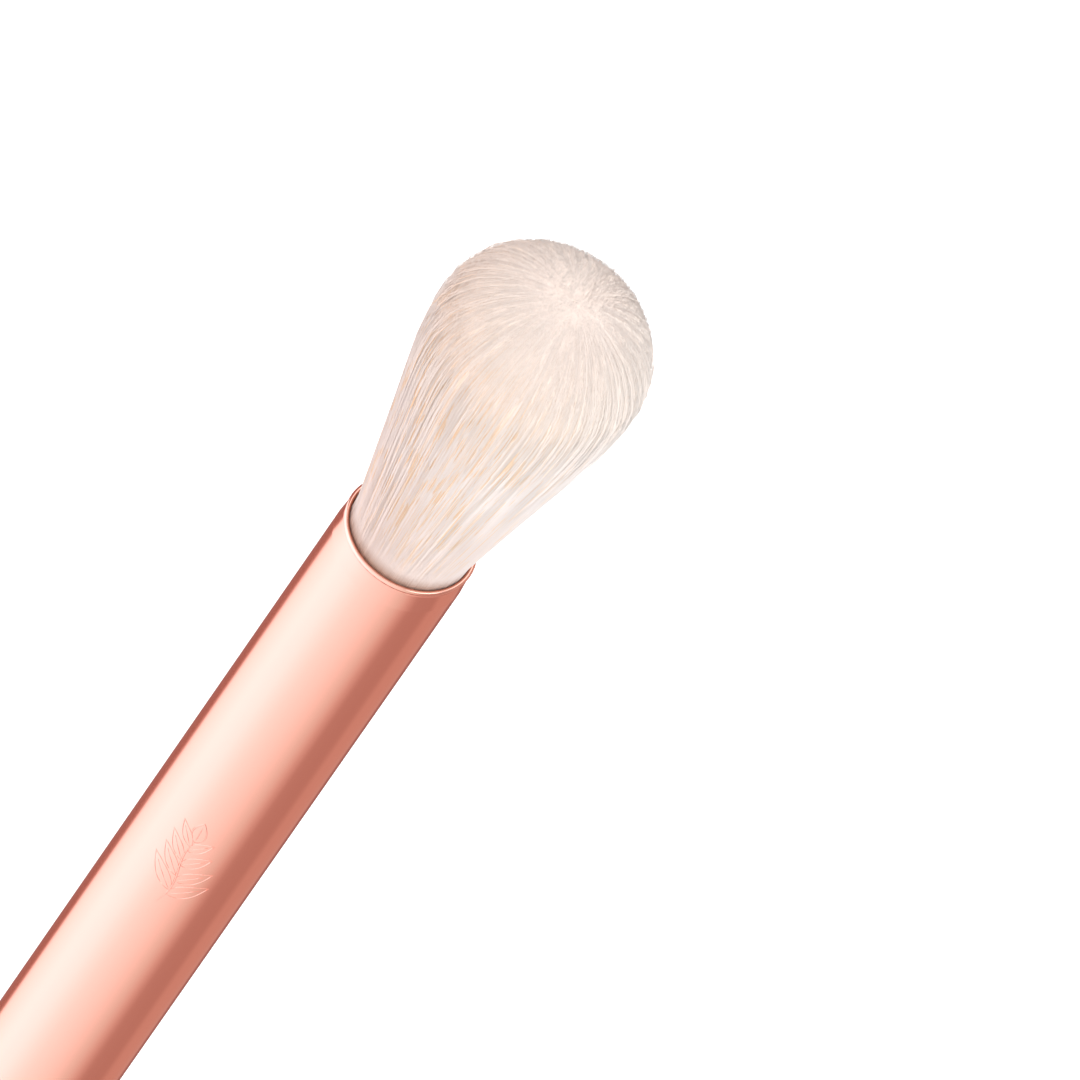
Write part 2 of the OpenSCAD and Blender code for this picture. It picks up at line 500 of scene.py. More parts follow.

# Painted light over the hair's own colour: a painted warm tint round the widest place, painted pale tips and
# a painted shade at the lip
PAINTED_WARM_COLOR, PAINTED_WARM_SHARE = (0.88, 0.64, 0.36), 0.16
PAINTED_TIP_COLOR, PAINTED_TIP_SHARE = (1.0, 0.95, 0.91), 0.5
# Painted brown shade right at the lip, and a painted rosy reflection of the metal up the hair
LIP_SHADE, LIP_SHADE_HEIGHT, LIP_SHADE_POWER = (0.62, 0.4, 0.3), 1.1 * MM, 1.5
PAINTED_ROSY_UP_TO = 1 / 2.2  # share of the hair's length over which it is rosy
DARK_TONE = (0.96, 0.95, 0.94)  # multiplies the colour of the darkest hairs
HAIR_SHEEN = 0.75

# Painted gold streaks, a painted golden shade where the locks part: their usual width and length, how rare
# they are and how soft their edges
STREAK_WIDTH, STREAK_LENGTH = 0.09 * MM, 4.2 * MM
STREAK_LEVEL, STREAK_SOFTNESS = 0.59, 0.04
# Painted gold: how strongly deep hair and the streaks take the painted golden shade
DEEP_PAINTED_GOLD, STREAK_PAINTED_GOLD, PACKED_PAINTED_STREAKS = 0.4, 0.85, 0.5  # how golden deep hair and the streaks are
# Painted glow: emission colour in the gaps, for light scattered through the hair
PAINTED_GAP_GLOW = (0.17, 0.112, 0.06)

# Strands drawn on the packed hair, and the painted shade that multiplies its colour between them and round
# the widest place
PACKED_WIDTH, PACKED_LENGTH = 0.1 * MM, 5 * MM
PACKED_LINE_SHADE, PAINTED_PACKED_SHADE = (0.94, 0.925, 0.915), (0.93, 0.93, 0.93)


def ramp(value, start, end):
    """0 until start, 1 from end on and straight between; end may be below start."""
    return np.clip((value - start) / (end - start), 0, 1)


def soft_ramp(value, start, end):
    """A ramp with soft ends."""
    share = ramp(value, start, end)
    return share * share * (3 - 2 * share)


def belly_height(hair):
    return hair.length - hair.dome


def flare(height, hair):
    """Radius of the tuft at a height above the lip: nearly straight, then rounding off."""
    share = ramp(height, FLARE_START, belly_height(hair))
    power = (1 + FLARE_BEND) / FLARE_BEND
    opened = (1 + FLARE_BEND) * share - FLARE_BEND * share**power
    return hair.mouth + (hair.widest / 2 - hair.mouth) * opened


def dome_height(share, hair):
    """Height of the dome above the lip, by a hair's share of the tuft's radius."""
    inside = 1 - np.clip(share, 0, 1) ** DOME_POWER
    return belly_height(hair) + hair.dome * inside ** (1 / DOME_POWER)


def over_dome(arc, hair):
    """Height above the lip, and share of the radius left, at a distance up the side and over the dome."""
    widest_at = belly_height(hair)
    turn = ramp(arc, widest_at, widest_at + DOME_ARC) * math.pi / 2
    height = np.minimum(arc, widest_at) + hair.dome * np.sin(turn) ** (2 / DOME_POWER)
    return height, np.maximum(np.cos(turn), 0) ** (2 / DOME_POWER)


def lock_field(x, y, z, rng, width, drift):
    """A smooth sideways pull that draws hairs into locks, as the slope of a sum of waves."""
    pull_x, pull_y = np.zeros_like(x), np.zeros_like(x)
    for _ in range(LOCK_WAVES):
        heading = rng.uniform(0, 2 * math.pi)
        number = 2 * math.pi / (width * rng.uniform(0.6, 1.5))
        climb = 2 * math.pi / drift * rng.normal(0, 1)
        phase = rng.uniform(0, 2 * math.pi)
        wave = np.sin(number * (math.cos(heading) * x + math.sin(heading) * y) + climb * z + phase)
        pull_x += math.cos(heading) * wave / number
        pull_y += math.sin(heading) * wave / number
    norm = math.sqrt(2 / LOCK_WAVES)
    return pull_x * norm, pull_y * norm


class Comb:
    """The seeded choices for every hair: where it stands, where it ends and how it leans."""

    def __init__(self, hair):
        rng = np.random.default_rng(HAIR_SEED)
        count = hair.count
        index = np.arange(count)
        spiral = np.sqrt((index + 0.5) / count)
        turn = index * GOLDEN_ANGLE
        jitter = rng.normal(0, HOME_JITTER / math.sqrt(count), (2, count))
        self.home_x = spiral * np.cos(turn) + jitter[0]
        self.home_y = spiral * np.sin(turn) + jitter[1]
        self.share = np.minimum(np.hypot(self.home_x, self.home_y), 1.0)

        # Most tips end on the dome; some end a little lower and a few stray above it
        tip = dome_height(self.share, hair) + rng.normal(*TIP_LIFT, count)
        short = rng.random(count) < SHORT_HAIRS
        tip -= short * rng.exponential(SHORT_BY, count)
        stray = rng.random(count) < STRAY_TIPS
        self.tip = tip + stray * rng.uniform(0, STRAY_UP, count)

        self.lean = rng.normal(0, LEAN, count)
        self.bend = rng.normal(0, BEND, count)
        self.swing = rng.uniform(0, 2 * math.pi, count)
        self.tone = rng.random(count)
        self.radius = hair.thickness / 2 * rng.uniform(*THICKNESS_RANGE, count)
        self.lock_seed = int(rng.integers(1 << 30))
        self.outline = 1 + STRAY_OUT * rng.random(count) ** 3

        # The outermost hairs curl in over the dome and end all along it, fewer and fewer toward the top
        left = CURL_LEFT + (1 - CURL_LEFT) * rng.random(count) ** CURL_POWER
        turn_in = np.arccos(left ** (DOME_POWER / 2)) / (math.pi / 2)
        self.arc = belly_height(hair) + DOME_ARC * turn_in


def hair_points(hair, comb, chosen, rings, drawn):
    """Points along the chosen hairs, (hairs, rings, 3), and how far each lies up its hair and from its end.

    drawn is how far down from the tip a hair is drawn; hairs drawn whole curl in over the dome."""
    curled = drawn is None
    end = (comb.arc if curled else comb.tip)[chosen, None]
    foot = np.full_like(end, -ROOT_DEPTH) if curled else end - drawn
    spacing = 1 - (1 - np.linspace(0, 1, rings)) ** RING_POWER if curled else np.linspace(0, 1, rings)
    arc = foot + spacing[None, :] * (end - foot)
    z, left = over_dome(arc, hair) if curled else (arc, np.ones_like(arc))
    belly = hair.widest / 2
    flat_x = comb.home_x[chosen, None] * belly * np.ones_like(z)
    flat_y = comb.home_y[chosen, None] * belly * np.ones_like(z)
    angle = np.arctan2(flat_y, flat_x)

    # Locks: none at the lip, most at mid height, hardly any at the top of the dome
    fading = 1 - 0.9 * ramp(z, 0.6 * hair.length, 0.98 * hair.length)
    rng = np.random.default_rng(comb.lock_seed)
    wide_x, wide_y = lock_field(flat_x, flat_y, arc, rng, hair.lock_width, LOCK_DRIFT)
    fine_x, fine_y = lock_field(flat_x, flat_y, arc, rng, hair.lock_width * FINE_LOCKS, FINE_DRIFT)
    pull = hair.lock_pull * ramp(z, 0, LOCKS_FORMED) * fading
    flat_x = flat_x + pull * (WIDE_PULL * wide_x + fine_x)
    flat_y = flat_y + pull * (WIDE_PULL * wide_y + fine_y)

    # Single hairs lean a little off the comb, sideways only, with a slow bend
    climb = ramp(arc, 0, hair.length)
    swing = np.sin(BEND_WAVES * climb * math.pi + comb.swing[chosen, None])
    aside = (comb.lean[chosen, None] + comb.bend[chosen, None] * swing) * climb
    flat_x = flat_x - np.sin(angle) * aside
    flat_y = flat_y + np.cos(angle) * aside

    # No hair leaves the tuft's outline, apart from fine strays near the top; curled hairs rise to it
    reach = np.hypot(flat_x, flat_y) / belly
    outline = 1 + (comb.outline[chosen, None] - 1) * ramp(z, 0.3 * hair.length, 0.8 * hair.length)
    inside = np.minimum(reach, 1.0)
    inside = inside + (1 - inside) * CURL_RISE * (1 - left)
    scale = flare(z, hair) / belly * left * inside / reach * np.where(reach > STRAY_FROM, outline, 1)
    return np.stack([flat_x * scale, flat_y * scale, z + LIP_Z], axis=2), arc, end - arc


def depth_below_surface(hair, points):
    """How deep each point lies in the tuft, in metres, from its side or from its dome."""
    z = points[..., 2] - LIP_Z
    out = np.hypot(points[..., 0], points[..., 1])
    radius = flare(z, hair)
    below_dome = dome_height(out / (hair.widest / 2), hair) - z
    return np.maximum(np.minimum(radius - out, 0.6 * below_dome), 0)


def painted_gold_share(x, height):
    """How much painted golden shade the gaps get: most where the locks part at mid height, little on the
    smooth +X side, which the right-hand lamp lights.
    """
    open_locks = ramp(height, 0.6 * MM, 3.6 * MM) * ramp(height, 23 * MM, 17 * MM)
    return open_locks * (1 - 0.7 * ramp(x / TUFT_HIGH.x, 0.25, 0.85))


def place_layers(hair, x, height):
    """How much painted gold, painted warm tint and painted rosy tint the hair gets by its place in the tuft.
    """
    return {
        "hair_painted_gold": painted_gold_share(x, height),
        "hair_painted_warmth": ramp(height, 12 * MM, 20 * MM),
        "hair_painted_rosy": ramp(height, PAINTED_ROSY_UP_TO * hair.length, 0) ** 1.2,
    }


def outline_normals(hair, points):
    """The direction that the tuft's own surface faces near each point."""
    z = points[..., 2] - LIP_Z
    out = np.maximum(np.hypot(points[..., 0], points[..., 1]), TINY)
    widest_at = belly_height(hair)
    share = np.clip(out / (hair.widest / 2), 0, 1)
    side = share ** (DOME_POWER - 1) / (hair.widest / 2)
    up = ramp(z, widest_at, widest_at + hair.dome) ** (DOME_POWER - 1) / hair.dome
    slope = (flare(z + SLOPE_STEP, hair) - flare(z, hair)) / SLOPE_STEP
    side = np.maximum(side, LEAST_SIDE / hair.widest)
    vertical = np.where(z > widest_at, up, -slope * side)
    normal = np.stack([points[..., 0] / out * side, points[..., 1] / out * side, vertical], axis=-1)
    return normal / np.linalg.norm(normal, axis=-1, keepdims=True)


def combed_normals(hair, points):
    """The direction that brushed hair catches the light from: the outline's, turned up at the dome.

    The second value is 0 on the side of the tuft and rises softly to 1 high on its dome."""
    soft = outline_normals(hair, points)
    height = points[..., 2] - LIP_Z
    rise = soft_ramp(height, 0.5 * hair.length, 0.92 * hair.length)
    soft[..., :2] *= 1 - UP_AT_DOME * rise[..., None]
    soft[..., 2] += UP_AT_SIDE * ramp(height, -1 * MM, 6 * MM) * (1 - rise)
    return soft / np.linalg.norm(soft, axis=-1, keepdims=True), rise


def hair_frames(points):
    """Two directions square to each hair at each of its points."""
    run = np.gradient(points, axis=1)
    run /= np.linalg.norm(run, axis=-1, keepdims=True)
    out = np.maximum(np.hypot(points[..., 0], points[..., 1]), TINY)
    round_axis = np.stack([-points[..., 1] / out, points[..., 0] / out, np.zeros_like(out)], axis=-1)
    across = np.cross(run, round_axis)
    across /= np.linalg.norm(across, axis=-1, keepdims=True)
    return np.cross(across, run), across


def tube_faces(count, rings):
    """Corner numbers, and where each face starts among them, of closed tubes of SIDES sides."""
    ring, edge = np.meshgrid(np.arange(rings - 1), np.arange(SIDES), indexing="ij")
    after = (edge + 1) % SIDES
    quad = np.stack([
        ring * SIDES + edge, ring * SIDES + after, (ring + 1) * SIDES + after, (ring + 1) * SIDES + edge
    ], axis=-1).reshape(-1, 4)
    cap = np.array([[2, 1, 0], [0, 1, 2]]) + np.array([[0], [(rings - 1) * SIDES]])
    start = (np.arange(count) * rings * SIDES)[:, None, None]
    quads = (quad[None] + start).reshape(-1)
    caps = (cap[None] + start).reshape(-1)
    quad_count, cap_count = len(quads) // 4, len(caps) // 3
    starts = np.concatenate([np.arange(quad_count) * 4, quad_count * 4 + np.arange(cap_count) * 3])
    return np.concatenate([quads, caps]).astype(np.int32), starts.astype(np.int32)


def strand_mesh(name, hair, comb, chosen, rings, drawn):
    """Three-sided tapering tubes in one mesh, with their tone, their depth for the painted gold and glow, and
    their place along the hair.
    """
    points, arc, to_end = hair_points(hair, comb, chosen, rings, drawn)
    count = len(points)
    along = np.clip(arc / (arc + to_end), 0, 1)
    belly = 0.85 + 0.5 * ramp(along, 0, 0.7)
    radii = comb.radius[chosen, None] * belly * (1 - TIP_TAPER * ramp(along, TAPER_FROM, 1) ** 2)

    # A corner of each hair points outward, a little turned, so both sides seen from outside take the light
    corner = np.arange(SIDES) * 2 * math.pi / SIDES - math.pi / 2
    own_turn = OWN_TURN * (comb.swing[chosen, None] / math.pi - 1) + corner[None, :]
    side, across = hair_frames(points)
    around = (np.cos(own_turn)[:, None, :, None] * side[:, :, None, :]
              + np.sin(own_turn)[:, None, :, None] * across[:, :, None, :])
    verts = points[:, :, None, :] + radii[:, :, None, None] * around

    loops, starts = tube_faces(count, rings)
    mesh = bpy.data.meshes.new(name)
    mesh.vertices.add(count * rings * SIDES)
    mesh.vertices.foreach_set("co", verts.astype(np.float32).ravel())
    mesh.loops.add(len(loops))
    mesh.loops.foreach_set("vertex_index", loops)
    mesh.polygons.add(len(starts))
    mesh.polygons.foreach_set("loop_start", starts)
    mesh.update(calc_edges=True)
    mesh.shade_smooth()

    # Hairs catch light mostly as the brushed surface of the tuft does
    soft, rise = combed_normals(hair, points)
    weight = (BRUSHED_AT_SIDE + (BRUSHED_AT_DOME - BRUSHED_AT_SIDE) * rise)[:, :, None, None]
    normals = weight * soft[:, :, None, :] + (1 - weight) * around
    normals = normals / np.linalg.norm(normals, axis=-1, keepdims=True)
    mesh.normals_split_custom_set_from_vertices(normals.reshape(-1, 3).astype(np.float32))

    height = points[..., 2] - LIP_Z
    # Painted gold and glow, stronger the deeper a point lies below the tuft's surface
    depth = ramp(depth_below_surface(hair, points), 0.05 * MM, 0.35 * MM)
    depth *= painted_gold_share(points[..., 0], height)
    shape = (count, rings, SIDES)

    def each_corner(values):
        return np.broadcast_to(values[:, :, None], shape)

    write_layers(mesh, {
        "hair_tone": each_corner(comb.tone[chosen, None]),
        "hair_painted_depth": each_corner(depth),
        "hair_painted_tip": each_corner(ramp(to_end, TIP_LENGTH, 0)),
        **place_layers(hair, each_corner(points[..., 0]), each_corner(height)),
    })
    lanes = np.empty((*shape, 3), dtype=np.float32)
    lanes[..., 0] = comb.home_x[chosen, None, None] * hair.widest / 2
    lanes[..., 1] = comb.home_y[chosen, None, None] * hair.widest / 2
    lanes[..., 2] = arc[:, :, None]
    write_vectors(mesh, "hair_lane", lanes)
    unwrap_strands(mesh, count, rings, loops)
    return mesh


def unwrap_strands(mesh, count, rings, loops):
    """Each hair has its own narrow cell of the map, so that its colours can be kept in one."""
    rows = max(1, round(math.sqrt(count / 4)))
    columns = math.ceil(count / rows)
    strand, inner = np.divmod(loops, rings * SIDES)
    ring, side = np.divmod(inner, SIDES)
    u = (strand % columns + 0.15 + 0.7 * side / (SIDES - 1)) / columns
    v = (strand // columns + 0.05 + 0.9 * ring / (rings - 1)) / rows
    layer = mesh.uv_layers.new(name="OFBake")
    layer.uv.foreach_set("vector", np.stack([u, v], axis=1).astype(np.float32).ravel())


def lane_noise(tree, width, length, detail):
    """Noise that follows the hair, by the width and length of its features."""
    lane = add_node(tree, "ShaderNodeAttribute", attribute_name="hair_lane")
    stretch = add_node(tree, "ShaderNodeVectorMath", operation="MULTIPLY")
    stretch.inputs[1].default_value = (1 / width, 1 / width, 1 / length)
    tree.links.new(lane.outputs["Vector"], stretch.inputs[0])
    noise = add_node(tree, "ShaderNodeTexNoise", Scale=1.0, Detail=detail, Roughness=0.5)
    tree.links.new(stretch.outputs[0], noise.inputs["Vector"])
    return noise.outputs["Fac"]


def painted_gold_streaks(tree):
    """A mask of short narrow streaks of painted gold along the hair, for the golden shade where the locks
    part.
    """
    noise = lane_noise(tree, STREAK_WIDTH, STREAK_LENGTH, 1.0)
    streak = times(tree, minus(tree, noise, STREAK_LEVEL), 1 / STREAK_SOFTNESS, clamp=True)
    return times(tree, streak, *read_layers(tree, "hair_painted_gold"))


def read_layers(tree, *labels):
    """The factor outputs of the values kept with the mesh under these names."""
    return [add_node(tree, "ShaderNodeAttribute", attribute_name=label).outputs["Fac"] for label in labels]


def base_hue(tree, hair):
    """Cream, with a painted rosy reflection of the metal toward the lip, a painted brown shade right at it,
    and a painted warm tint round the widest place.
    """
    rosy, warm = read_layers(tree, "hair_painted_rosy", "hair_painted_warmth")
    # Painted rosy reflection of the metal, fading up the hair
    outer = color_mix(tree, rosy, hair.surface_color, hair.root_painted_color)
    place = add_node(tree, "ShaderNodeSeparateXYZ")
    tree.links.new(tree.nodes.new("ShaderNodeTexCoord").outputs["Object"], place.inputs[0])
    # Painted brown shade right at the lip, fading with height
    climb = math_node(tree, "DIVIDE", minus(tree, place.outputs["Z"], LIP_Z), LIP_SHADE_HEIGHT)
    shade = math_node(tree, "POWER", minus(tree, 1.0, climb, clamp=True), LIP_SHADE_POWER)
    outer = color_mix(tree, shade, outer, LIP_SHADE)
    # Painted warm tint round the widest place, for the golden depth seen into the tips
    return color_mix(tree, times(tree, warm, PAINTED_WARM_SHARE), outer, PAINTED_WARM_COLOR)


def paint_gap_glow(tree, shader, gap):
    """Painted glow: emission that stands in for light that has wandered through many hairs and comes out of
    the gaps golden.
    """
    tree.links.new(color_mix(tree, gap, (0, 0, 0), PAINTED_GAP_GLOW), shader.inputs["Emission Color"])
    set_sockets(shader, Emission_Strength=1.0)


def hair_material(hair):
    """Soft loose hair, painted golden and given a painted glow where it lies deep."""
    material, tree, shader = new_material("Soft cream hair")
    tone, depth, tip = read_layers(tree, "hair_tone", "hair_painted_depth", "hair_painted_tip")
    # Painted gold from depth and from the painted streaks
    gold = math_node(tree, "MAXIMUM", times(tree, depth, DEEP_PAINTED_GOLD),
                     times(tree, painted_gold_streaks(tree), STREAK_PAINTED_GOLD))
    # Painted light: paler toward the tips
    painted_tips = color_mix(tree, times(tree, tip, PAINTED_TIP_SHARE), base_hue(tree, hair), PAINTED_TIP_COLOR)
    hue = color_mix(tree, gold, painted_tips, hair.deep_painted_color)
    toned = color_mix(tree, 1.0, hue, color_mix(tree, tone, DARK_TONE, WHITE), "MULTIPLY")
    tree.links.new(toned, shader.inputs["Base Color"])
    set_sockets(shader, Roughness=0.55, Specular_IOR_Level=0.3, Sheen_Weight=HAIR_SHEEN)
    paint_gap_glow(tree, shader, depth)
    return material


def undercoat_mesh(hair):
    """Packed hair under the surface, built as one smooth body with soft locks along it."""
    rng = np.random.default_rng(HAIR_SEED + 1)
    belly = hair.widest / 2
    side_z = np.linspace(-ROOT_DEPTH, belly_height(hair), ROWS_UP_SIDE, endpoint=False)
    shares = np.sin(np.linspace(math.pi / 2, 0, ROWS_OVER_DOME))
    outline = np.concatenate([
        np.stack([flare(side_z, hair), side_z], axis=1),
        np.stack([shares * belly, dome_height(shares, hair)], axis=1),
    ])
    turn = np.linspace(0, 2 * math.pi, STEPS_ROUND, endpoint=False)
    shell = np.zeros((len(outline), STEPS_ROUND, 3))
    shell[..., 0] = outline[:, :1] * np.cos(turn)
    shell[..., 1] = outline[:, :1] * np.sin(turn)
    shell[..., 2] = outline[:, 1:] + LIP_Z
    normals = outline_normals(hair, shell)

    # Locks swell and sink along the hair
    z = outline[:, 1:] + np.zeros((1, STEPS_ROUND))
    share = (outline[:, :1] / flare(outline[:, 1:], hair)) ** 0.4
    x, y = np.cos(turn) * belly * share, np.sin(turn) * belly * share
    swell = np.zeros_like(z)
    for _ in range(SWELL_WAVES):
        heading, phase = rng.uniform(0, 2 * math.pi, 2)
        number = 2 * math.pi / (hair.lock_width * rng.uniform(0.35, 1.3))
        climb = 2 * math.pi / SWELL_DRIFT * rng.normal(0, 1)
        swell += np.sin(number * (math.cos(heading) * x + math.sin(heading) * y) + climb * z + phase)
    swell *= math.sqrt(2 / SWELL_WAVES)
    inset = UNDERCOAT_INSET * np.maximum(ramp(z, -0.5 * MM, 3.5 * MM), 0.25) * (1 + SWELL * swell)
    inset = inset * (1 - 0.4 * soft_ramp(z, 0.45 * hair.length, 0.95 * hair.length))
    points = shell - normals * inset[..., None]

    mesh = bpy.data.meshes.new("hair_undercoat")
    row = np.arange(len(outline) - 1)[:, None] * STEPS_ROUND
    column = np.arange(STEPS_ROUND)[None, :]
    after = (column + 1) % STEPS_ROUND
    quads = np.stack([
        row + column, row + after, row + STEPS_ROUND + after, row + STEPS_ROUND + column
    ], axis=-1).reshape(-1, 4)
    mesh.from_pydata(points.reshape(-1, 3).tolist(), [], quads.tolist())
    mesh.shade_smooth()
    soft, _ = combed_normals(hair, shell)
    mesh.normals_split_custom_set_from_vertices(soft.reshape(-1, 3).astype(np.float32))
    write_vectors(mesh, "hair_lane", np.stack([x, y, z], axis=-1))
    write_layers(mesh, place_layers(hair, points[..., 0], z))
    return mesh


def undercoat_material(hair):
    """Packed hair seen in the gaps, with fine strands drawn along it, painted gold and a painted glow between
    them, and painted shade in the lines between them and round the widest place.
    """
    material, tree, shader = new_material("Packed golden hair")
    strands = lane_noise(tree, PACKED_WIDTH, PACKED_LENGTH, 2.0)
    golden, warm = read_layers(tree, "hair_painted_gold", "hair_painted_warmth")
    # Painted gold between the drawn strands and in the painted streaks
    between = times(tree, golden, minus(tree, 0.85, strands))
    streaks = times(tree, painted_gold_streaks(tree), PACKED_PAINTED_STREAKS)
    gap = math_node(tree, "MAXIMUM", between, streaks, clamp=True)
    hue = color_mix(tree, gap, base_hue(tree, hair), hair.deep_painted_color)
    # Painted shade: packed hair darker round the widest place and in the lines between the drawn strands
    shaded = color_mix(tree, 1.0, hue, color_mix(tree, warm, WHITE, PAINTED_PACKED_SHADE), "MULTIPLY")
    lines = times(tree, minus(tree, strands, 0.4), 4.0, clamp=True)
    line_shaded = color_mix(tree, lines, PACKED_LINE_SHADE, WHITE)
    tree.links.new(color_mix(tree, 1.0, shaded, line_shaded, "MULTIPLY"), shader.inputs["Base Color"])
    add_bump(tree, shader, strands, 0.22, 0.03 * MM)
    set_sockets(shader, Roughness=0.6, Specular_IOR_Level=0.2, Sheen_Weight=HAIR_SHEEN)
    paint_gap_glow(tree, shader, gap)
    return material


class EYEBRUSH_OT_grow_hair(bpy.types.Operator):
    """Grow the tuft: packed hair inside, a crown of tips, and long loose hairs that curl in over it"""

    bl_idname = "eyebrush.grow_hair"
    bl_label = "Grow Hair"

    def execute(self, context):
        hair = context.scene.eyebrush_hair
        comb = Comb(hair)
        material = hair_material(hair)
        for name, low, high, rings, drawn in BUNDLES:
            chosen = (comb.share >= low) & (comb.share < high)
            mesh = strand_mesh(name, hair, comb, chosen, rings, drawn)
            bundle = new_piece(name, mesh, material)
            bundle.visible_shadow = False  # loose hair is so fine that light goes on through it
            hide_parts("bristle_tuft")
        packed = new_piece("hair_undercoat", undercoat_mesh(hair), undercoat_material(hair))
        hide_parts("bristle_tuft")
        return {"FINISHED"}


class EYEBRUSH_OT_pour_resin_face(bpy.types.Operator):
    """Pour the top of the resin that the hairs stand in, drawn up a little at its rim"""

    bl_idname = "eyebrush.pour_resin_face"
    bl_label = "Pour Resin Face"

    def execute(self, context):
        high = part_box("resin_plug")[1]
        radius, top = high.x, LIP_Z - ROOT_DEPTH
        rim = [(radius * s, top + RESIN_CREEP * s**8) for s in np.linspace(0, 1, 16)]
        mesh = lathe("resin_face", [*rim, (radius, high.z), (0, high.z)], 96)
        resin = bpy.data.materials[INSIDE_FINISHES["resin_plug"]["name"]]
        new_piece("resin_face", mesh, resin)
        return {"FINISHED"}


# ---------------------------------------------------------------- raised sprig on the tube

RIDGE_WIDTH, RIDGE_SINK = 0.05 * MM, 0.02 * MM  # half a ridge's width, and its depth in the tube
RIDGE_SIDES = (-1.35, -0.7, 0.7, 1.35)  # foot, top, top and foot of a ridge, in half widths
STEM_SHARE, STEM_SWAY, STEM_WAVES = 0.76, 0.22 * MM, 2.4
TOP_LEAF, SIDE_LEAF = (1.75 * MM, 0.85 * MM), (2.6 * MM, 0.92 * MM)  # length and width


def wrap_on_tube(across, height, lift):
    """A point on the tube, from its distance round the front line, its height and its lift."""
    angle = across / TUBE_RADIUS - math.pi / 2
    radius = TUBE_RADIUS + lift
    return (radius * math.cos(angle), radius * math.sin(angle), height)


def raised_line(shape, path, half_width, lift):
    """A ridge along a path of (across, height) points, with sloping sides and closed ends."""
    rows = []
    for i, here in enumerate(path):
        before, after = path[max(i - 1, 0)], path[min(i + 1, len(path) - 1)]
        dx, dy = after[0] - before[0], after[1] - before[1]
        size = math.hypot(dx, dy)
        nx, ny = -dy / size, dx / size
        taper = min(1.0, 0.25 + 3.0 * min(i, len(path) - 1 - i) / (len(path) - 1))
        w = half_width * taper
        rows.append([
            shape.verts.new(wrap_on_tube(here[0] + nx * s * w, here[1] + ny * s * w, h))
            for s, h in zip(RIDGE_SIDES, (-RIDGE_SINK, lift * taper, lift * taper, -RIDGE_SINK))
        ])
    for a, b in zip(rows, rows[1:]):
        for k in range(4):
            n = (k + 1) % 4
            shape.faces.new((a[k], a[n], b[n], b[k]))
    shape.faces.new(rows[0][::-1])
    shape.faces.new(rows[-1])


def leaf_outline(root, angle, length, width, points=14):
    """The closed outline of a pointed leaf, as (across, height) points."""
    outline = []
    for side in (1, -1):
        for k in range(points):
            t = k / points if side == 1 else 1 - k / points
            x = length * t
            y = side * width / 2 * math.sin(math.pi * t**0.8) ** 0.9
            outline.append((
                root[0] + x * math.cos(angle) - y * math.sin(angle),
                root[1] + x * math.sin(angle) + y * math.cos(angle),
            ))
    return outline


class EYEBRUSH_OT_raise_sprig(bpy.types.Operator):
    """Raise a plain sprig of leaves in fine relief on the front of the tube"""

    bl_idname = "eyebrush.raise_sprig"
    bl_label = "Raise Sprig"

    def execute(self, context):
        sprig = context.scene.eyebrush_sprig
        foot = LIP_Z - sprig.below_lip - sprig.height / 2
        shape = bmesh.new()

        def stem_at(share):
            return (STEM_SWAY * math.sin(share * STEM_WAVES * math.pi), foot + sprig.height * share)

        stem = [stem_at(STEM_SHARE * k / 18) for k in range(19)]
        raised_line(shape, stem, RIDGE_WIDTH, sprig.relief)
        leaves = [(stem[-1], math.radians(93), *TOP_LEAF)]
        for pair in range(sprig.leaf_pairs):
            step = pair / (sprig.leaf_pairs - 1)
            length, width = (size * (1 - 0.3 * step) for size in SIDE_LEAF)
            for side, shift in ((1, 0.0), (-1, 0.055)):
                root = stem_at(0.12 + shift + 0.52 * step)
                angle = math.pi / 2 - side * math.radians(47 - 8 * step)
                leaves.append((root, angle, length, width))
        for root, angle, length, width in leaves:
            outline = leaf_outline(root, angle, length, width)
            raised_line(shape, [*outline, outline[0]], RIDGE_WIDTH * 0.85, sprig.relief)
            rib = [
                (root[0] + length * t * math.cos(angle), root[1] + length * t * math.sin(angle))
                for t in (0.05, 0.25, 0.45, 0.62, 0.78)
            ]
            raised_line(shape, rib, RIDGE_WIDTH * 0.6, sprig.relief * 0.7)
        bmesh.ops.recalc_face_normals(shape, faces=shape.faces)
        mesh = bpy.data.meshes.new("sprig")
        shape.to_mesh(mesh)
        shape.free()
        metal = context.scene.eyebrush_metal
        material = satin_metal("Sprig rose gold", tuple(metal.color), metal.roughness + SPRIG_MATT)
        new_piece("leaf_sprig", mesh, material)
        return {"FINISHED"}


# ---------------------------------------------------------------- stage

FILL, FILL_RISE, FILL_TOWARD = (0.83, 0.765, 0.74), (0.11, 0.18, 0.22), (0.8, 0, 0.6)
FLOOR_COLOR, FLOOR_LIFT = (0.82, 0.82, 0.82, 1), 0.5
FLOOR_HALF, FLOOR_DROP = 6.0, 0.2 * MM
SENSOR_WIDTH = 36  # millimetres
PICTURE = 1080  # pixels
LAMP_DISTANCE = 0.9
# Each lamp: azimuth and elevation in degrees, side in metres, watts and colour
LAMPS = {
    "Softbox right": (78, 40, 0.6, 3.1, (0.91, 0.96, 1.0)),
    "Softbox top": (0, 70, 0.6, 0.4),
    "Softbox front": (0, 20, 0.6, 1.6),
    "Softbox left": (-80, 35, 0.5, 1.75, (1.0, 0.68, 0.62)),
    "Softbox back": (170, 55, 0.6, 1.2),
}


